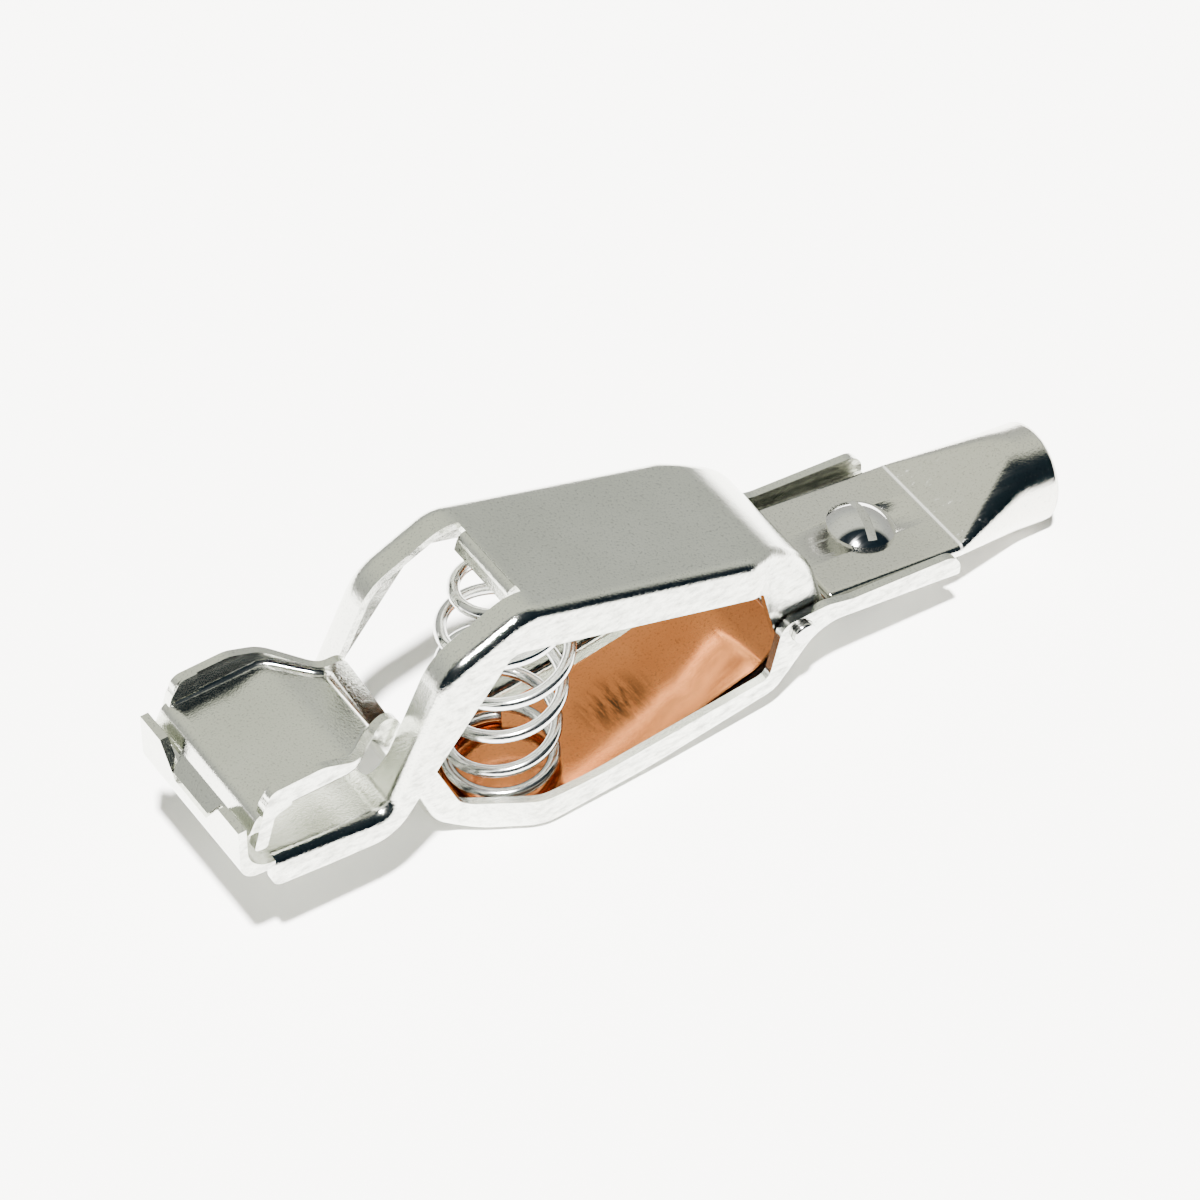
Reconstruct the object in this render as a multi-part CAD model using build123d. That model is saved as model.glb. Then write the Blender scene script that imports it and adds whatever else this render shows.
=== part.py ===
"""Stamped-steel ground clamp for a welding return cable.

Two bent-sheet levers cross each other: the lower one carries the bottom handle, a neck and the
upper jaw; the upper one carries the top handle, two arms round a window and the lower jaw.
They swing on a plain pin at the cable end and a coil spring holds the jaws shut.

Units are millimetres, +Z up, the cable leaves along +X and the clamp is symmetric about Y = 0.
Stations are drawn from the spring seat and moved by MIDDLE so the origin ends up on the floor
under the middle of the closed clamp.
"""
import math
import os

from build123d import *

MIDDLE = 10.8

# Sheet steel
SHEET = 1.4
BEND = 2.4
HALF_WIDTH = 14.0

# Pivot
PIN_X, PIN_Z = 33.7, 16.3
PIN_RADIUS = 1.96
PIN_HALF_LENGTH = 15.2
PIN_HOLE_RADIUS = 2.05
LUG_RADIUS = 3.0
LUG_HALF_WIDTH = 12.25

# Lower lever
NECK_HALF_WIDTH = 7.7
JAW_FRONT_X = -62.6
UPPER_TOOTH_TOP, UPPER_TOOTH_TIP = 5.8, 2.8

# Upper lever
WINDOW_HALF_WIDTH = 8.5
WINDOW_FRONT_X, WINDOW_REAR_X = -41.5, -14.6
WINDOW_LIP_HALF_WIDTH = 6.8
NOTCH_TOP, NOTCH_BOTTOM = 8.2, 4.4
LIP_FACE_X = -67.8
LIP_TOP_Z = 34.0
NOTCH_Z = 28.5

# Cable lug, drawn about the barrel axis with its mouth at the lug origin
LUG_MOUTH = (88.06, 8.31)
LUG_TILT = 9.2
BARREL_RADIUS = 8.41
BORE_RADIUS = 7.2
BARREL_LENGTH = 7.0
FOLD_LENGTH = 21.6
TONGUE_LENGTH = 47.6
TONGUE_HALF_WIDTH = 11.3
TONGUE_TOP, TONGUE_BOTTOM = 1.04, -1.24

# Terminal screw, nut and washer
SCREW_BACK = 33.7
SCREW_RADIUS = 3.15
SCREW_LENGTH = 13.2
HEAD_RADIUS = 5.6
HEAD_RIM = 0.7
HEAD_HEIGHT = 2.9
SLOT_WIDTH = 1.5
SLOT_DEPTH = 1.5
SLOT_ANGLE = 76.0
SCREW_HOLE_RADIUS = 3.45
WASHER_RADIUS, WASHER_THICKNESS = 5.6, 1.5
NUT_FLATS, NUT_HEIGHT = 11.1, 5.4

# Copper liner
COPPER = 0.5
COPPER_HALF_WIDTH = 9.8
COPPER_PLAN = [(60.0, COPPER_HALF_WIDTH, 0), (-16.5, COPPER_HALF_WIDTH, 3.0), (-26.0, 4.6, 0)]

# Spring
WIRE_RADIUS = 1.0
COIL_RADII = [8.4, 8.4, 8.5, 9.3, 10.2, 9.3, 7.0]
TURNS = 5.6
PITCH = 8.2
FOOT_RISE = 2.0
FIRST_ANGLE = 56.0
SPRING_X = -13.4
SPRING_LEAN = 1.5
SPRING_FOOT_Z = 3.75

# Outer face of each web as (x, z, bend radius), rear end first
LOWER_WEB = [
    (64.4, 9.39, 0),
    (38.06, 13.66, 7.0),
    (29.6, 4.1, 5.4),
    (6.0, 0.9, 120.0),
    (-11.0, 0.0, 50.0),
    (-27.9, 0.0, 12.0),
    (-41.2, 32.1, 3.0),
    (-47.5, 33.6, 12.0),
    (JAW_FRONT_X, 33.7, 0),
]
LOWER_RIM = [
    (JAW_FRONT_X, 39.2, 2.0),
    (-52.8, 39.2, 5.0),
    (-40.6, 34.3, 4.0),
    (-36.8, 35.0, 2.4),
    (-25.4, 7.2, 3.0),
    (-5.0, 6.4, 60.0),
    (27.6, 9.0, 2.0),
    (30.1, 19.2, 2.6),
    (38.6, 19.1, 5.0),
    (43.4, 17.7, 6.0),
    (64.4, 15.4, 3.4),
]
JAW_LEG = [
    (-58.5, 39.2, 0),
    (-61.4, 39.2, 1.6),
    (-63.2, 36.5, 3.0),
    (-65.3, 28.4, 0.6),
    (-63.1, 28.0, 0.6),
    (-61.5, 34.0, 1.8),
    (-58.5, 34.8, 0),
]
LOWER_PLAN = [
    (64.4, HALF_WIDTH, 0),
    (-14.5, HALF_WIDTH, 9.0),
    (-25.4, NECK_HALF_WIDTH, 4.0),
    (-39.6, NECK_HALF_WIDTH, 4.0),
    (-47.0, HALF_WIDTH, 5.0),
    (JAW_FRONT_X, HALF_WIDTH, 0),
]
UPPER_WEB = [
    (40.3, 16.1, 0),
    (35.88, 32.29, 17.0),
    (-16.88, 50.13, 8.0),
    (-30.77, 44.38, 10.0),
    (-41.85, 21.34, 3.0),
    (JAW_FRONT_X, 24.2, 0),
]
UPPER_RIM = [
    (JAW_FRONT_X, 18.6, 2.0),
    (-52.0, 17.4, 20.0),
    (-41.2, 16.4, 7.0),
    (-19.5, 43.4, 2.6),
    (26.6, 28.2, 1.4),
    (30.6, PIN_Z - LUG_RADIUS, 2.6),
    (35.1, PIN_Z - LUG_RADIUS, 2.2),
    (37.6, 16.1, 1.0),
]
UPPER_PLAN = [
    (60.0, LUG_HALF_WIDTH, 0),
    (29.5, LUG_HALF_WIDTH, 6.0),
    (24.5, HALF_WIDTH, 6.0),
    (JAW_FRONT_X, HALF_WIDTH, 0),
]


def direction(start, end):
    """Unit vector from one corner to the next."""
    length = math.hypot(end[0] - start[0], end[1] - start[1])
    return (end[0] - start[0]) / length, (end[1] - start[1]) / length


def offset_corners(corners, distance):
    """Shift a rounded polyline sideways, left of travel positive, keeping bends concentric."""
    shifted = []
    for i, (x, z, radius) in enumerate(corners):
        ahead = direction(corners[i], corners[i + 1]) if i < len(corners) - 1 else None
        behind = direction(corners[i - 1], corners[i]) if i else ahead
        ahead = ahead or behind
        scale = distance / (1 + behind[0] * ahead[0] + behind[1] * ahead[1])
        turn = behind[0] * ahead[1] - behind[1] * ahead[0]
        x -= scale * (behind[1] + ahead[1])
        z += scale * (behind[0] + ahead[0])
        shifted.append((x, z, radius - math.copysign(distance, turn) if radius else 0))
    return shifted


def extended(corners, amount):
    """The same polyline with both ends run on past their last corner."""
    first = direction(corners[1], corners[0])
    last = direction(corners[-2], corners[-1])
    head = (corners[0][0] + amount * first[0], corners[0][1] + amount * first[1], 0)
    tail = (corners[-1][0] + amount * last[0], corners[-1][1] + amount * last[1], 0)
    return [head] + corners[1:-1] + [tail]


def rounded_face(corners, plane):
    """Closed face through rounded corners, drawn on the given plane."""
    points = [(x, z) for x, z, _ in corners]
    radii = [radius for _, _, radius in corners]
    return make_face(plane * FilletPolyline(*points, radius=radii, close=True))


def side_block(corners, half_width=40.0):
    """Side outline run across the clamp."""
    return extrude(rounded_face(corners, Plane.XZ), half_width, both=True)


def plan_block(half_outline):
    """Symmetric plan outline run through the whole height."""
    mirrored = [(x, -y, radius) for x, y, radius in reversed(half_outline)]
    return extrude(rounded_face(half_outline + mirrored, Plane.XY), 120.0, both=True)


def bend_edges(block, web, half_outline):
    """Edges where the web meets the two side walls."""
    side = Plane.XZ * FilletPolyline(
        *[(x, z) for x, z, _ in web], radius=[radius for _, _, radius in web[1:-1]]
    )
    plan = FilletPolyline(
        *[(x, y) for x, y, _ in half_outline], radius=[radius for _, _, radius in half_outline[1:-1]]
    )
    chosen = []
    for edge in block.edges():
        middle = edge.position_at(0.5)
        on_web = Vertex(middle.X, 0, middle.Z).distance_to(side) < 0.02
        on_wall = Vertex(middle.X, abs(middle.Y), 0).distance_to(plan) < 0.02
        if on_web and on_wall:
            chosen.append(edge)
    return chosen


def channel(web, rim, half_outline, inward, closing):
    """Bent channel: a web with a flange down each side, open towards the rim."""
    outer = side_block(web + rim) & plan_block(half_outline)
    outer = fillet(bend_edges(outer, web, half_outline), BEND)
    inner_web = extended(offset_corners(web, inward * SHEET), 12.0)
    inner_plan = extended(offset_corners(half_outline, SHEET), 12.0)
    inner = side_block(inner_web + closing) & plan_block(inner_plan)
    inner = fillet(bend_edges(inner, inner_web, inner_plan), BEND - SHEET)
    return outer - inner


def strip(corners, thickness, half_width):
    """Bent flat strip lying on the left of the given line."""
    back = [(x, z, radius) for x, z, radius in reversed(offset_corners(corners, thickness))]
    return side_block(corners + back, half_width)


def cross_cylinder(x, z, radius, half_length):
    """Cylinder lying across the clamp."""
    return Pos(x, 0, z) * Rot(90, 0, 0) * Cylinder(radius, 2 * half_length)


def trapezoid(x, near_half, near_z, far_half, far_z, depth):
    """Trapezoid drawn across the clamp and run along X."""
    outline = Polyline((-near_half, near_z), (near_half, near_z), (far_half, far_z),
                       (-far_half, far_z), close=True)
    return extrude(make_face(Plane.YZ.offset(x) * outline), depth, dir=(1, 0, 0))


def make_lower_lever():
    """Bottom handle, neck, upper jaw, ears and rear channel from one sheet."""
    closing = [(-90.0, 70.0, 0), (90.0, 70.0, 0)]
    lever = channel(LOWER_WEB, LOWER_RIM, LOWER_PLAN, -1, closing)
    front = [(JAW_FRONT_X + 0.6, 33.7, 0), (-63.2, 33.7, 0.9), (-64.4, 31.2, 1.8), (-66.8, 28.9, 0)]
    wall = strip(list(reversed(front)), SHEET, HALF_WIDTH - 0.6)
    for side in (-1, 1):
        wall -= Pos(-66, side * 14.4, 26.0) * Box(6, 16.0, 11.4)
    wall -= Pos(-66, 0, 20) * Box(10, 40, 10)
    tooth = trapezoid(-72, UPPER_TOOTH_TOP, 31.7, UPPER_TOOTH_TIP, 26.0, 12)
    body_limit = Pos(-62, 0, 41.7) * Box(30, 40, 20)
    wall &= tooth + body_limit
    lever += wall
    leg = side_block(JAW_LEG, HALF_WIDTH) - side_block(JAW_LEG, HALF_WIDTH - SHEET - 0.3)
    lever += leg
    lever -= cross_cylinder(PIN_X, PIN_Z, PIN_HOLE_RADIUS, 20)
    lever -= lug_frame() * Pos(-SCREW_BACK, 0, 0) * Cylinder(SCREW_HOLE_RADIUS, 12)
    return lever


def make_upper_lever():
    """Top handle, arms, lower jaw with its toothed lip, rear wall and pivot lugs."""
    closing = [(-90.0, -20.0, 0), (60.0, -20.0, 0)]
    lever = channel(UPPER_WEB, UPPER_RIM, UPPER_PLAN, 1, closing)
    lip = [(JAW_FRONT_X + 0.6, 22.75, 0), (LIP_FACE_X, 23.4, 3.2), (LIP_FACE_X, LIP_TOP_Z, 0)]
    lever += strip(lip, -SHEET, HALF_WIDTH - 0.05)
    lever -= trapezoid(-72, NOTCH_TOP, LIP_TOP_Z + 0.01, NOTCH_BOTTOM, NOTCH_Z, 7)
    length = WINDOW_REAR_X - WINDOW_FRONT_X
    window = Pos((WINDOW_FRONT_X + WINDOW_REAR_X) / 2, 0, 40) * Box(length, 2 * WINDOW_HALF_WIDTH, 60)
    lever -= fillet(window.edges().filter_by(Axis.Z).group_by(Axis.X)[0], 4.0)
    curl = [(-10.5, 47.97, 0), (-15.4, 49.44, 2.0), (-16.5, 46.0, 0)]
    lever += strip(curl, SHEET, WINDOW_LIP_HALF_WIDTH)
    lever -= cross_cylinder(PIN_X, PIN_Z, PIN_HOLE_RADIUS, 20)
    return lever


def make_pivot_pin():
    """Plain pin with slightly domed ends."""
    pin = cross_cylinder(PIN_X, PIN_Z, PIN_RADIUS, PIN_HALF_LENGTH)
    return fillet(pin.edges().filter_by(GeomType.CIRCLE), 0.6)


def coil_height(turn):
    """Height of the wire above the floor after so many turns: closed foot, then even pitch."""
    if turn < 1:
        return SPRING_FOOT_Z + FOOT_RISE * turn ** 2
    return SPRING_FOOT_Z + FOOT_RISE + PITCH * (turn - 1) * (1 - 0.25 * math.exp(2 * (1 - turn)))


def coil_radius(part):
    """Mean coil radius along the spring: barrel-shaped, narrowest at the top."""
    place = part * (len(COIL_RADII) - 1)
    low = min(int(place), len(COIL_RADII) - 2)
    blend = place - low
    blend = blend * blend * (3 - 2 * blend)
    return COIL_RADII[low] + (COIL_RADII[low + 1] - COIL_RADII[low]) * blend


def make_coil_spring():
    """Right-hand compression spring with a closed foot and a narrow top turn."""
    points = []
    steps = round(TURNS * 16)
    for i in range(steps + 1):
        turn = TURNS * i / steps
        angle = math.radians(FIRST_ANGLE) + 2 * math.pi * turn
        radius = coil_radius(i / steps)
        x = SPRING_X + SPRING_LEAN * i / steps + radius * math.cos(angle)
        points.append((x, radius * math.sin(angle), coil_height(turn)))
    path = Spline(*points)
    section = Plane(origin=path @ 0, z_dir=path % 0) * Circle(WIRE_RADIUS)
    return sweep(section, path)


def make_copper_liner():
    """Conductor strip: flat on the handle floor, up the ramp and round behind the pin."""
    under = [
        (-23.2, 2.8, 0),
        (-19.3, 1.56, 9.0),
        (6.0, 2.42, 60.0),
        (16.0, 3.9, 20.0),
        (28.9, 7.3, 6.0),
        (36.3, 14.4, 2.4),
        (36.7, 17.6, 3.0),
        (35.6, 20.2, 0),
    ]
    return strip(under, COPPER, COPPER_HALF_WIDTH) & plan_block(COPPER_PLAN)


def lug_frame():
    """Barrel axis as local X with the mouth at its origin."""
    return Pos(LUG_MOUTH[0], 0, LUG_MOUTH[1]) * Rot(0, LUG_TILT, 0)


def lug_section(back, half_width, half_height):
    """Oval cross-section of the lug a given distance ahead of the mouth."""
    plane = Plane(origin=(-back, 0, 0), x_dir=(0, 1, 0), z_dir=(1, 0, 0))
    if half_width == half_height:
        return plane * Circle(half_width)
    return plane * Ellipse(half_width, half_height)


def make_cable_lug():
    """Tube end: round barrel, squashed flat into a tongue with the screw hole."""
    thickness = TONGUE_TOP - TONGUE_BOTTOM
    body = loft([
        lug_section(FOLD_LENGTH, TONGUE_HALF_WIDTH, thickness / 2 + 0.02),
        lug_section(BARREL_LENGTH, BARREL_RADIUS, BARREL_RADIUS),
    ])
    body += extrude(lug_section(BARREL_LENGTH, BARREL_RADIUS, BARREL_RADIUS), BARREL_LENGTH)
    tongue_length = TONGUE_LENGTH - FOLD_LENGTH + 1.0
    tongue = Box(tongue_length, 2 * TONGUE_HALF_WIDTH, thickness)
    tongue = fillet(tongue.edges().filter_by(Axis.X), 0.8)
    middle_z = (TONGUE_TOP + TONGUE_BOTTOM) / 2
    body += Pos(tongue_length / 2 - TONGUE_LENGTH, 0, middle_z) * tongue
    body -= loft([
        lug_section(FOLD_LENGTH - 3.0, TONGUE_HALF_WIDTH - 2.0, 0.4),
        lug_section(BARREL_LENGTH, BORE_RADIUS, BORE_RADIUS),
    ])
    body -= extrude(lug_section(BARREL_LENGTH, BORE_RADIUS, BORE_RADIUS), BARREL_LENGTH + 0.2)
    body -= Pos(-SCREW_BACK, 0, 0) * Cylinder(SCREW_HOLE_RADIUS, 12)
    return lug_frame() * body


def screw_place(height):
    """Point on the screw axis, measured up from the barrel axis."""
    return lug_frame() * Pos(-SCREW_BACK, 0, height)


def make_terminal_screw():
    """Low round head with a rim and a screwdriver slot, on a plain-drawn shank."""
    dome_radius = (HEAD_RADIUS ** 2 + (HEAD_HEIGHT - HEAD_RIM) ** 2) / (2 * (HEAD_HEIGHT - HEAD_RIM))
    head = Pos(0, 0, HEAD_HEIGHT / 2) * Cylinder(HEAD_RADIUS, HEAD_HEIGHT)
    head &= Pos(0, 0, HEAD_HEIGHT - dome_radius) * Sphere(dome_radius)
    head -= Pos(0, 0, HEAD_HEIGHT) * Rot(0, 0, SLOT_ANGLE) * Box(3 * HEAD_RADIUS, SLOT_WIDTH, 2 * SLOT_DEPTH)
    shank = Pos(0, 0, -SCREW_LENGTH / 2) * Cylinder(SCREW_RADIUS, SCREW_LENGTH)
    shank = chamfer(shank.edges().filter_by(GeomType.CIRCLE).sort_by(Axis.Z)[0], 0.6)
    return screw_place(TONGUE_TOP + 0.02) * (head + shank)


def under_web():
    """Height of the underside of the rear channel on the screw axis."""
    return TONGUE_BOTTOM - 0.07 - SHEET


def make_lock_washer():
    """Split spring washer under the rear channel."""
    ring = Cylinder(WASHER_RADIUS, WASHER_THICKNESS) - Cylinder(SCREW_RADIUS + 0.15, 4)
    ring -= Pos(WASHER_RADIUS, 0, 0) * Rot(25, 0, 0) * Box(2 * WASHER_RADIUS, 0.8, 8)
    return screw_place(under_web() - 0.05 - WASHER_THICKNESS / 2) * ring


def make_terminal_nut():
    """Hex nut under the washer."""
    nut = extrude(RegularPolygon(NUT_FLATS / 2, 6, major_radius=False), NUT_HEIGHT)
    cone = Pos(0, 0, NUT_HEIGHT / 2) * Cone(NUT_FLATS * 0.56 + 3, NUT_FLATS * 0.56 - 0.4, NUT_HEIGHT)
    nut &= cone
    nut -= Cylinder(SCREW_RADIUS + 0.03, 30)
    height = under_web() - 0.1 - WASHER_THICKNESS
    return screw_place(height) * Rot(180, 0, 0) * nut


PIECES = {
    "lower_lever": make_lower_lever,
    "upper_lever": make_upper_lever,
    "pivot_pin": make_pivot_pin,
    "coil_spring": make_coil_spring,
    "copper_liner": make_copper_liner,
    "cable_lug": make_cable_lug,
    "terminal_screw": make_terminal_screw,
    "lock_washer": make_lock_washer,
    "terminal_nut": make_terminal_nut,
}

os.makedirs("parts", exist_ok=True)
for name, make in PIECES.items():
    piece = Pos(-MIDDLE, 0, 0) * make()
    export_step(piece, f"parts/{name}.step")
    box = piece.bounding_box()
    print(name, len(piece.solids()), round(piece.volume), box.min, box.max)
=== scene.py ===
"""Looks for the ground clamp: zinc-plated stampings, copper liner, bright spring and tube lug."""

import math

import bpy
from mathutils import Matrix, Vector


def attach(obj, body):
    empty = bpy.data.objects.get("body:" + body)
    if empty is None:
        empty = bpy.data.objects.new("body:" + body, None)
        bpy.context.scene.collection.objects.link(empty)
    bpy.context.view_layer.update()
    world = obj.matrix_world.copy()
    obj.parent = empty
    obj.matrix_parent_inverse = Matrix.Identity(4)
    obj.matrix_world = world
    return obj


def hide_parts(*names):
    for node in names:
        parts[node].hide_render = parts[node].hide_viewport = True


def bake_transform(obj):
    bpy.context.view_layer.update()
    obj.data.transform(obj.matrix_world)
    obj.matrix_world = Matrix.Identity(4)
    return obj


MM = 0.001

# Cable lug: centre of its open mouth, tilt of its axis and the section of the round barrel
MOUTH = Vector((77.26, 0.0, 8.31)) * MM
TILT = math.radians(9.2)
BARREL_R = 8.41
WALL = 1.2

# Distances back from the mouth: where the squashed cone starts and ends, the fold line, the screw
# and the end of the tongue
CONE_START, CONE_END = 7.5, 21.4
CONE_START_SQUASH = 0.075
FOLD_BACK = 21.5
SCREW_BACK = 33.7
TONGUE_BACK = 47.6

# Tongue section, its screw hole and the slit left between the pressed walls
TONGUE_HALF_WIDTH, TONGUE_HALF_THICKNESS = 11.3, 1.14
SCREW_HOLE_R = 3.45
HALF_SLIT = 0.03
FACE_ANGLE = 14  # degrees of the barrel, each side of its top, that become the flat face
QUARTER_STEPS = 24

# Spring, drawn at rest
SPRING_X, SPRING_LEAN = -24.2, 1.5
SPRING_FOOT, FOOT_RISE, PITCH = 3.75, 2.0, 8.2
COIL_RADII = [8.4, 8.4, 8.5, 9.3, 10.2, 9.3, 7.0]
FIRST_ANGLE = math.radians(56)
TURNS = 5.6
WIRE_R = 1.0
STEPS_PER_TURN = 64
WIRE_SIDES = 20

# Broken edge of the cut sheets
SHEETS = ("lower_lever", "upper_lever", "copper_liner")
EDGE_BREAK = 0.12

# Studio: floor, direction of the unlit side of the room, sun and camera
FLOOR_HALF, FLOOR_Z = 2500, -0.05
UNLIT_SIDE = Vector((-0.25, -0.90, 0.36))
SUN_FROM = Vector((-0.241, -0.356, 1.0))
CAMERA_PLACE = Vector((-337.8, -492.2, 666.7)) * MM
CAMERA_AIM = Vector((-5.45, 0.0, 27.8)) * MM
CAMERA_LENS = 171.0


# ---------------------------------------------------------------- meshes

def link(name, data):
    """New object in the scene for a mesh, light or camera."""
    obj = bpy.data.objects.new(name, data)
    bpy.context.collection.objects.link(obj)
    return obj


def mesh_object(name, verts, faces):
    """New smooth-shaded object from millimetre vertices."""
    mesh = bpy.data.meshes.new(name)
    mesh.from_pydata([tuple(Vector(v) * MM) for v in verts], [], faces)
    mesh.validate()
    for polygon in mesh.polygons:
        polygon.use_smooth = True
    return link(name, mesh)


def skin(rings, loop=False):
    """Faces between equal rings of points; the ends are filled unless the rings form a loop."""
    count = len(rings[0])
    verts = [point for ring in rings for point in ring]
    faces = []
    spans = len(rings) if loop else len(rings) - 1
    for i in range(spans):
        a, b = i * count, ((i + 1) % len(rings)) * count
        for j in range(count):
            k = (j + 1) % count
            faces.append((a + j, a + k, b + k, b + j))
    if not loop:
        last = spans * count
        faces.append(tuple(reversed(range(count))))
        faces.append(tuple(range(last, last + count)))
    return verts, faces


def end_ring(ring, centre, outward):
    """Smaller ring just past the end of a wire, which rounds its cut."""
    return [point.lerp(centre, 0.25) + outward.normalized() * 0.2 for point in ring]


def tube(path, radius):
    """Rings of a round wire along a path, with the ends slightly rounded."""
    rings = []
    up = Vector((0, 0, 1))
    for i, point in enumerate(path):
        ahead = path[min(i + 1, len(path) - 1)] - path[max(i - 1, 0)]
        ahead.normalize()
        side = ahead.cross(up).normalized()
        lift = side.cross(ahead)
        ring = []
        for j in range(WIRE_SIDES):
            angle = 2 * math.pi * j / WIRE_SIDES
            ring.append(point + (side * math.cos(angle) + lift * math.sin(angle)) * radius)
        rings.append(ring)
    first = end_ring(rings[0], path[0], path[0] - path[1])
    last = end_ring(rings[-1], path[-1], path[-1] - path[-2])
    return [first] + rings + [last]


# ---------------------------------------------------------------- shader nodes

def node(tree, kind, operation=None, **values):
    """New shader node with its operation and its inputs set by name."""
    item = tree.nodes.new(kind)
    if operation:
        item.operation = operation
    for key, value in values.items():
        item.inputs[key.replace("_", " ")].default_value = value
    return item


def coordinates(tree, kind):
    """Texture coordinates of one kind: Object, Normal or Generated."""
    return tree.nodes.new("ShaderNodeTexCoord").outputs[kind]


def separate(tree, source):
    """The X, Y and Z outputs of a vector."""
    item = tree.nodes.new("ShaderNodeSeparateXYZ")
    tree.links.new(source, item.inputs["Vector"])
    return item.outputs


def ramp(tree, source, stops):
    """Colour ramp fed by source; stops are (position, grey or colour)."""
    item = tree.nodes.new("ShaderNodeValToRGB")
    elements = item.color_ramp.elements
    while len(elements) < len(stops):
        elements.new(0.5)
    for element, (position, colour) in zip(elements, stops):
        element.position = position
        rgb = colour if isinstance(colour, tuple) else (colour, colour, colour)
        element.color = (*rgb, 1)
    tree.links.new(source, item.inputs["Fac"])
    return item.outputs["Color"]


def noise(tree, place, scale, detail=4.0, rough=0.55, stretch=(1, 1, 1)):
    """Object-space noise; scale is features per metre."""
    mapping = node(tree, "ShaderNodeMapping", Scale=stretch)
    tree.links.new(place, mapping.inputs["Vector"])
    item = node(tree, "ShaderNodeTexNoise", Scale=scale, Detail=detail, Roughness=rough)
    tree.links.new(mapping.outputs["Vector"], item.inputs["Vector"])
    return item.outputs["Fac"]


def mix(tree, factor, a, b, blend="MIX"):
    """Colour mix whose factor and colours may be sockets or constants."""
    item = tree.nodes.new("ShaderNodeMix")
    item.data_type = "RGBA"
    item.blend_type = blend
    for socket, value in ((item.inputs[0], factor), (item.inputs[6], a), (item.inputs[7], b)):
        if isinstance(value, bpy.types.NodeSocket):
            tree.links.new(value, socket)
        elif isinstance(value, tuple):
            socket.default_value = (*value, 1)
        else:
            socket.default_value = value
    return item.outputs[2]


def spot(tree, place, centre, size, inner):
    """Soft ellipsoid mask, 1 up to the inner share of its size and 0 outside; in millimetres."""
    scale = [1 / (s * MM) for s in size]
    shift = [-c / s for c, s in zip(centre, size)]
    mapping = node(tree, "ShaderNodeMapping", Scale=scale, Location=shift)
    tree.links.new(place, mapping.inputs["Vector"])
    length = node(tree, "ShaderNodeVectorMath", operation="LENGTH")
    tree.links.new(mapping.outputs["Vector"], length.inputs[0])
    return ramp(tree, length.outputs["Value"], [(inner, 1.0), (1.0, 0.0)])


def lay_over(material, socket, mask, colour):
    """Lays a colour over whatever already feeds one of the shader's sockets, where mask is 1."""
    tree = material.node_tree
    target = tree.nodes["Principled BSDF"].inputs[socket]
    tree.links.new(mix(tree, mask, target.links[0].from_socket, colour), target)


# ---------------------------------------------------------------- materials

def painted_side_shade(tree, place, colour):
    """Painted shade on the flanges: darkens colour with fine streaks along X on faces that point sideways,
    standing in for their shaded, streaky reflections.
    """
    normal = separate(tree, coordinates(tree, "Normal"))
    size = node(tree, "ShaderNodeMath", operation="ABSOLUTE")
    tree.links.new(normal["Y"], size.inputs[0])
    side = ramp(tree, size.outputs["Value"], [(0.75, 0.0), (0.95, 1.0)])
    streaks = ramp(tree, noise(tree, place, 1300, 6.0, 0.7, (0.3, 1.0, 0.8)),
                   [(0.32, 0.40), (0.50, 0.82), (0.62, 1.0)])
    shaded = mix(tree, 1.0, colour, streaks, "MULTIPLY")
    return mix(tree, side, colour, shaded)


def metal(name, colour, roughness, grain, wear=(0.8, 0.8, 0.8), side_shade=False):
    """Plated or bare metal with mottled tone, uneven polish, scratches along X and fine grain; on request,
    painted shade streaks on the flanges.
    """
    material = bpy.data.materials.new(name)
    material.use_nodes = True
    tree = material.node_tree
    shader = tree.nodes["Principled BSDF"]
    place = coordinates(tree, "Object")
    cloud = noise(tree, place, 55, 5.0)
    fine = noise(tree, place, 2600, 3.0, 0.65)
    scratch = noise(tree, place, 900, 2.0, 0.5, (0.08, 1.6, 1.0))
    dark = tuple(c * w for c, w in zip(colour, wear))
    tone = mix(tree, ramp(tree, cloud, [(0.36, 1.0), (0.62, 0.0)]), colour, dark)
    speck = ramp(tree, fine, [(0.30, 0.72), (0.46, 1.0)])
    finish = mix(tree, 1.0, tone, speck, "MULTIPLY")
    # Painted shade: dark streaks on the sideways-facing flanges
    if side_shade:
        finish = painted_side_shade(tree, place, finish)
    tree.links.new(finish, shader.inputs["Base Color"])
    low, high = roughness
    patch = ramp(tree, cloud, [(0.3, low), (0.7, high)])
    line = ramp(tree, scratch, [(0.40, 0.03), (0.47, 0.0)])
    tree.links.new(mix(tree, 1.0, patch, line, "ADD"), shader.inputs["Roughness"])
    bump = node(tree, "ShaderNodeBump", Strength=grain, Distance=0.0002)
    tree.links.new(fine, bump.inputs["Height"])
    tree.links.new(bump.outputs["Normal"], shader.inputs["Normal"])
    shader.inputs["Metallic"].default_value = 1.0
    return material


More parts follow.
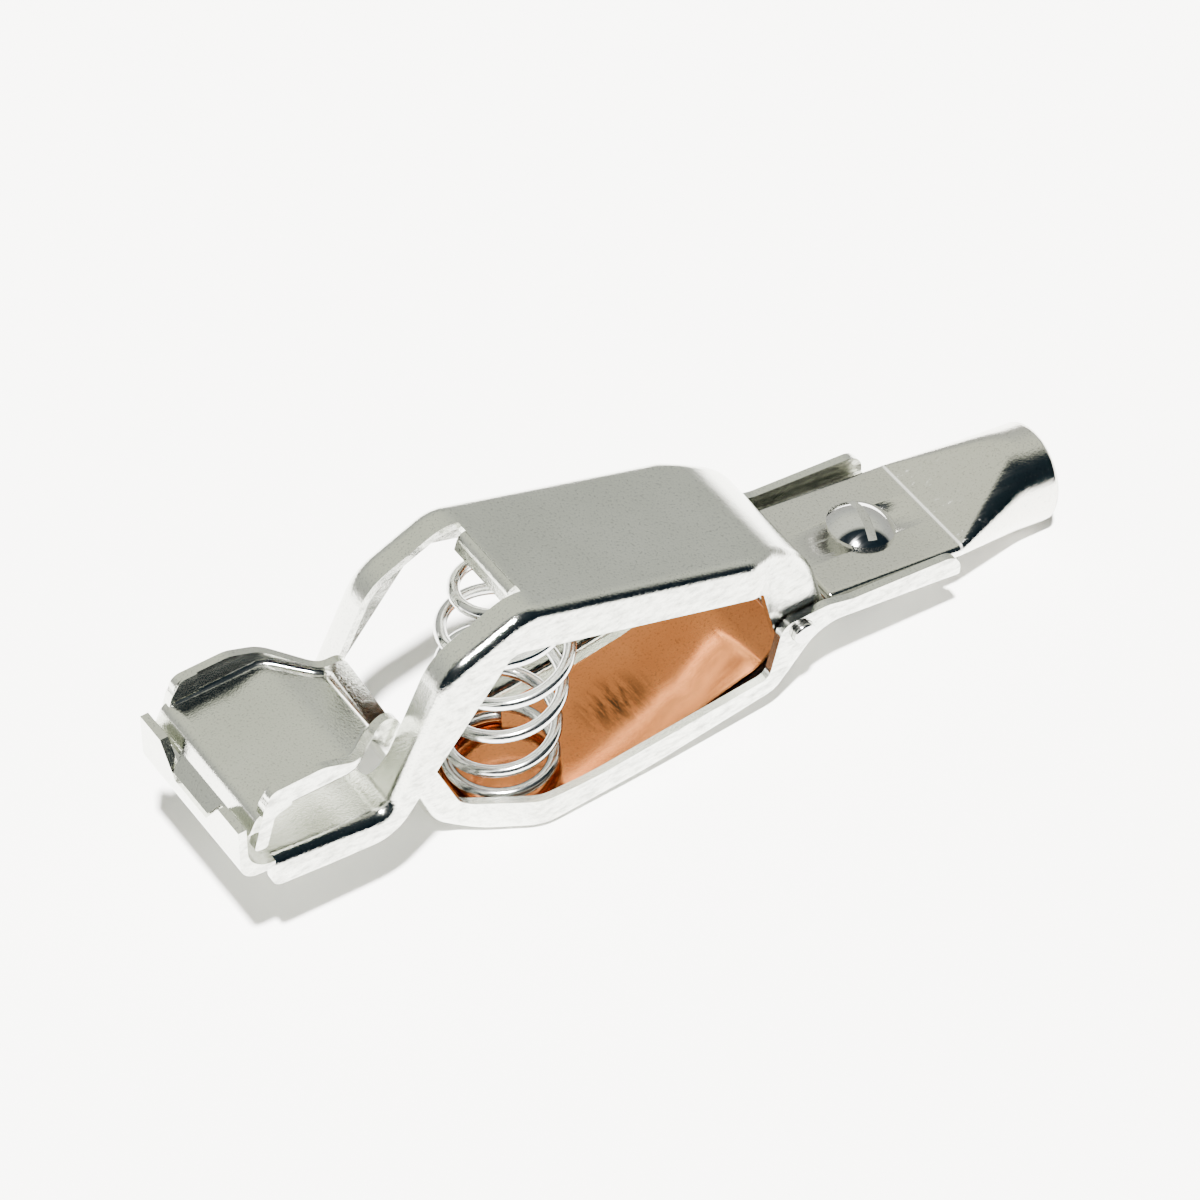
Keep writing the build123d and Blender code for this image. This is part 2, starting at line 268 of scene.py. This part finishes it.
def tinned_tube():
    """Tinned tube where the tongue is folded flat: a painted highlight line along the fold, on burnished
    wear, and hair scratches next to it.
    """
    material = metal("tinned_tube", (0.78, 0.775, 0.72), (0.07, 0.10), grain=0.20, wear=(0.94, 0.94, 0.92))
    tree = material.node_tree
    place = coordinates(tree, "Object")
    local = node(tree, "ShaderNodeMapping", Location=MOUTH, Rotation=(0, TILT, 0))
    local.vector_type = "TEXTURE"
    tree.links.new(place, local.inputs["Vector"])

    # Place along the lug as 0 to 1 over 20 mm, with the fold line at 0.5
    span = 20
    along = node(tree, "ShaderNodeMath", operation="MULTIPLY_ADD")
    tree.links.new(separate(tree, local.outputs["Vector"])["X"], along.inputs[0])
    along.inputs[1].default_value = 1 / (span * MM)
    along.inputs[2].default_value = FOLD_BACK / span + 0.5
    # Painted highlight along the fold line, on burnished wear
    line = ramp(tree, along.outputs["Value"], [(0.480, 0.0), (0.492, 1.0), (0.508, 1.0), (0.520, 0.0)])
    near = ramp(tree, along.outputs["Value"], [(0.49, 0.0), (0.51, 1.0), (0.95, 0.0)])
    hairs = ramp(tree, noise(tree, place, 900, 6.0, 0.75, (0.5, 1.0, 0.3)), [(0.60, 0.0), (0.66, 1.0)])
    fold_highlight_and_hairs = mix(tree, 1.0, line, mix(tree, 1.0, near, hairs, "MULTIPLY"), "LIGHTEN")
    # Lighter colour there: painted highlight on the fold line, and the hair scratches
    lay_over(material, "Base Color", fold_highlight_and_hairs, (0.93, 0.93, 0.90))
    lay_over(material, "Roughness", fold_highlight_and_hairs, (0.42, 0.42, 0.42))
    return material


def copper_sheet():
    """Rolled copper with a rubbed dark smudge in front of the pin."""
    material = metal("copper_sheet", (0.70, 0.25, 0.085), (0.09, 0.12), grain=0.03, wear=(0.86, 0.80, 0.76))
    tree = material.node_tree
    place = coordinates(tree, "Object")
    hairs = ramp(tree, noise(tree, place, 700, 5.0, 0.7, (0.9, 0.14, 1.0)), [(0.42, 0.0), (0.58, 1.0)])
    smudge = spot(tree, place, (-3.0, -0.3, 2.0), (7.5, 6.0, 30.0), 0.15)
    wide = spot(tree, place, (-1.0, -1.0, 2.0), (15.0, 9.0, 30.0), 0.2)
    rubbed = mix(tree, 1.0, mix(tree, 1.0, smudge, hairs, "MULTIPLY"),
                 mix(tree, 1.0, wide, (0.16, 0.16, 0.16), "MULTIPLY"), "ADD")
    lay_over(material, "Base Color", rubbed, (0.10, 0.045, 0.02))
    return material


def floor_paint():
    """Plain pale floor."""
    material = bpy.data.materials.new("floor_white")
    material.use_nodes = True
    shader = material.node_tree.nodes["Principled BSDF"]
    shader.inputs["Base Color"].default_value = (0.93, 0.925, 0.91, 1)
    shader.inputs["Roughness"].default_value = 0.9
    return material


def paint(obj, material):
    """One material on the whole piece."""
    obj.data.materials.clear()
    obj.data.materials.append(material)


# ---------------------------------------------------------------- pieces

def coil_height(turn):
    """Height of the wire after so many turns: closed foot, then a pitch that soon becomes even."""
    if turn < 1:
        return SPRING_FOOT + FOOT_RISE * turn ** 2
    return SPRING_FOOT + FOOT_RISE + PITCH * (turn - 1) * (1 - 0.25 * math.exp(2 * (1 - turn)))


def coil_radius(part):
    """Mean coil radius along the spring: barrel-shaped, narrowest at the top."""
    place = part * (len(COIL_RADII) - 1)
    low = min(int(place), len(COIL_RADII) - 2)
    blend = place - low
    blend = blend * blend * (3 - 2 * blend)
    return COIL_RADII[low] + (COIL_RADII[low + 1] - COIL_RADII[low]) * blend


def make_spring():
    """Right-hand spring wire as a round tube."""
    path = []
    steps = round(TURNS * STEPS_PER_TURN)
    for i in range(steps + 1):
        part = i / steps
        angle = FIRST_ANGLE + 2 * math.pi * TURNS * part
        radius = coil_radius(part)
        x = SPRING_X + SPRING_LEAN * part + radius * math.cos(angle)
        path.append(Vector((x, radius * math.sin(angle), coil_height(TURNS * part))))
    return mesh_object("coil_spring_wire", *skin(tube(path, WIRE_R)))


def lug_ring(back, squash, inset):
    """Ring of the tube: round at squash 0, flat at 1; the corners of the fold fan out into cones."""
    barrel = BARREL_R - inset
    edge = max(TONGUE_HALF_THICKNESS - inset, HALF_SLIT)
    flat = TONGUE_HALF_WIDTH - inset - edge
    quarter = []
    for i in range(QUARTER_STEPS + 1):
        part = 2 * i / QUARTER_STEPS
        if part < 1:
            fold = Vector((0, flat * part, edge))
            angle = math.radians(90 - FACE_ANGLE * part)
        else:
            turn = math.radians(90 * (2 - part))
            fold = Vector((0, flat + edge * math.cos(turn), edge * math.sin(turn)))
            angle = math.radians((90 - FACE_ANGLE) * (2 - part))
        round_point = Vector((0, barrel * math.cos(angle), barrel * math.sin(angle)))
        point = round_point.lerp(fold, squash)
        quarter.append(Vector((-back, point.y, point.z)))
    upper = quarter + [Vector((p.x, p.y, -p.z)) for p in reversed(quarter[:-1])]
    lower = [Vector((p.x, -p.y, p.z)) for p in reversed(upper[1:-1])]
    return upper + lower


def lug_outline(inset):
    """Rings from the mouth to the front of the tongue, shrunk inwards by inset."""
    stations = [(0.0, 0.0), (0.5, 0.0), (4.5, 0.0), (6.0, 0.015), (CONE_START, CONE_START_SQUASH)]
    for i in range(1, 10):
        back = CONE_START + (CONE_END - CONE_START) * i / 10
        stations.append((back, CONE_START_SQUASH + (1 - CONE_START_SQUASH) * i / 10))
    stations += [(CONE_END - 0.1, 0.99), (CONE_END + 0.3, 1.0), (34.0, 1.0), (47.0, 1.0), (TONGUE_BACK, 1.0)]
    return [lug_ring(back, squash, inset) for back, squash in stations]


def cut_hole(obj, centre, radius):
    """Cuts a round hole straight through along Z and applies all the piece's modifiers."""
    angles = [2 * math.pi * j / 48 for j in range(48)]
    rings = [[Vector((centre[0] + radius * math.cos(a), centre[1] + radius * math.sin(a), z))
              for a in angles] for z in (-9, 9)]
    cutter = mesh_object("cutter", *skin(rings))
    modifier = obj.modifiers.new("hole", "BOOLEAN")
    modifier.object = cutter
    modifier.operation = "DIFFERENCE"
    modifier.solver = "EXACT"
    bpy.context.view_layer.update()
    cut = bpy.data.meshes.new_from_object(obj.evaluated_get(bpy.context.evaluated_depsgraph_get()))
    obj.modifiers.clear()
    obj.data = cut
    bpy.data.objects.remove(cutter)


def make_lug():
    """Cable lug: round barrel, squashed flat into a double-walled tongue."""
    outer = lug_outline(0.0)
    inner = lug_outline(WALL)
    obj = mesh_object("cable_lug_tube", *skin(outer + list(reversed(inner)), loop=True))
    crease = obj.modifiers.new("crease", "EDGE_SPLIT")
    crease.split_angle = math.radians(40)
    cut_hole(obj, (-SCREW_BACK, 0), SCREW_HOLE_R)
    obj.data.transform(Matrix.Translation(MOUTH) @ Matrix.Rotation(TILT, 4, "Y"))
    return obj


def soften(obj):
    """Broken edge on a cut sheet."""
    bevel = obj.modifiers.new("edge", "BEVEL")
    bevel.width = EDGE_BREAK * MM
    bevel.segments = 2
    bevel.limit_method = "ANGLE"
    bevel.angle_limit = math.radians(50)
    bevel.harden_normals = True


# ---------------------------------------------------------------- studio

def make_floor():
    """Large square floor just under the part."""
    corners = [(-1, -1), (1, -1), (1, 1), (-1, 1)]
    verts = [(x * FLOOR_HALF, y * FLOOR_HALF, FLOOR_Z) for x, y in corners]
    return mesh_object("floor", verts, [(0, 1, 2, 3)])


def make_world():
    """Studio surroundings: pale walls and ceiling, unlit room on the near side."""
    world = bpy.data.worlds.new("studio")
    bpy.context.scene.world = world
    world.use_nodes = True
    tree = world.node_tree
    background = tree.nodes["Background"]
    place = coordinates(tree, "Generated")
    dot = node(tree, "ShaderNodeVectorMath", operation="DOT_PRODUCT")
    dot.inputs[1].default_value = UNLIT_SIDE.normalized()
    tree.links.new(place, dot.inputs[0])
    walls = ramp(tree, separate(tree, place)["Z"], [(0.0, (0.66, 0.65, 0.60)), (0.35, (0.70, 0.72, 0.66)),
                                                    (0.74, (1.04, 1.06, 0.89)), (1.0, (1.06, 1.08, 0.92))])
    shade = ramp(tree, dot.outputs["Value"], [(0.10, 1.0), (0.26, (0.014, 0.026, 0.042))])
    tree.links.new(mix(tree, 1.0, walls, shade, "MULTIPLY"), background.inputs["Color"])
    background.inputs["Strength"].default_value = 1.0


def make_sun():
    """Hard key light from above the near side."""
    sun = bpy.data.lights.new("key", "SUN")
    sun.energy = 30.0
    sun.angle = math.radians(3)
    sun.color = (1.0, 0.985, 0.96)
    link("key", sun).rotation_euler = SUN_FROM.to_track_quat("Z", "Y").to_euler()


def make_camera():
    """Camera at the jaw end, looking down at the near side."""
    camera = link("camera", bpy.data.cameras.new("camera"))
    camera.location = CAMERA_PLACE
    camera.rotation_euler = (CAMERA_PLACE - CAMERA_AIM).to_track_quat("Z", "Y").to_euler()
    camera.data.lens = CAMERA_LENS
    camera.data.sensor_width = 36.0
    camera.data.clip_end = 20.0
    bpy.context.scene.camera = camera


# ---------------------------------------------------------------- scene

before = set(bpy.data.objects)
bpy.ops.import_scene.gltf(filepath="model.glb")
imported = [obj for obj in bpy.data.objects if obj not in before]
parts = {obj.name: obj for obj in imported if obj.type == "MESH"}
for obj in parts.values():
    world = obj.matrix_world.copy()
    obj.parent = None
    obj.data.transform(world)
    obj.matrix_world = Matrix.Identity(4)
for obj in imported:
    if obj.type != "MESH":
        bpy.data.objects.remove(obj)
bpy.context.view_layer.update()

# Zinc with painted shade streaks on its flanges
zinc = metal("zinc_plate", (0.77, 0.785, 0.73), (0.07, 0.10), grain=0.22, wear=(0.92, 0.92, 0.91),
             side_shade=True)
bright = metal("bright_plate", (0.82, 0.82, 0.81), (0.04, 0.07), grain=0.01, wear=(0.94, 0.94, 0.94))
wire = metal("wire_plate", (0.72, 0.73, 0.72), (0.12, 0.18), grain=0.05, wear=(0.90, 0.90, 0.90))
pin_metal = metal("pin_plate", (0.72, 0.72, 0.69), (0.12, 0.18), grain=0.06)
tin = tinned_tube()
copper = copper_sheet()

spring = make_spring()
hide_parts("coil_spring")
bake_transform(spring)
paint(spring, wire)

lug = make_lug()
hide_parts("cable_lug")
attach(lug, "lower_body")
paint(lug, tin)

for name, material in (("lower_lever", zinc), ("upper_lever", zinc), ("pivot_pin", pin_metal),
                       ("copper_liner", copper), ("terminal_screw", bright),
                       ("lock_washer", pin_metal), ("terminal_nut", bright)):
    paint(parts[name], material)

for name in SHEETS:
    soften(parts[name])

floor = make_floor()
paint(floor, floor_paint())

make_world()
make_sun()
make_camera()
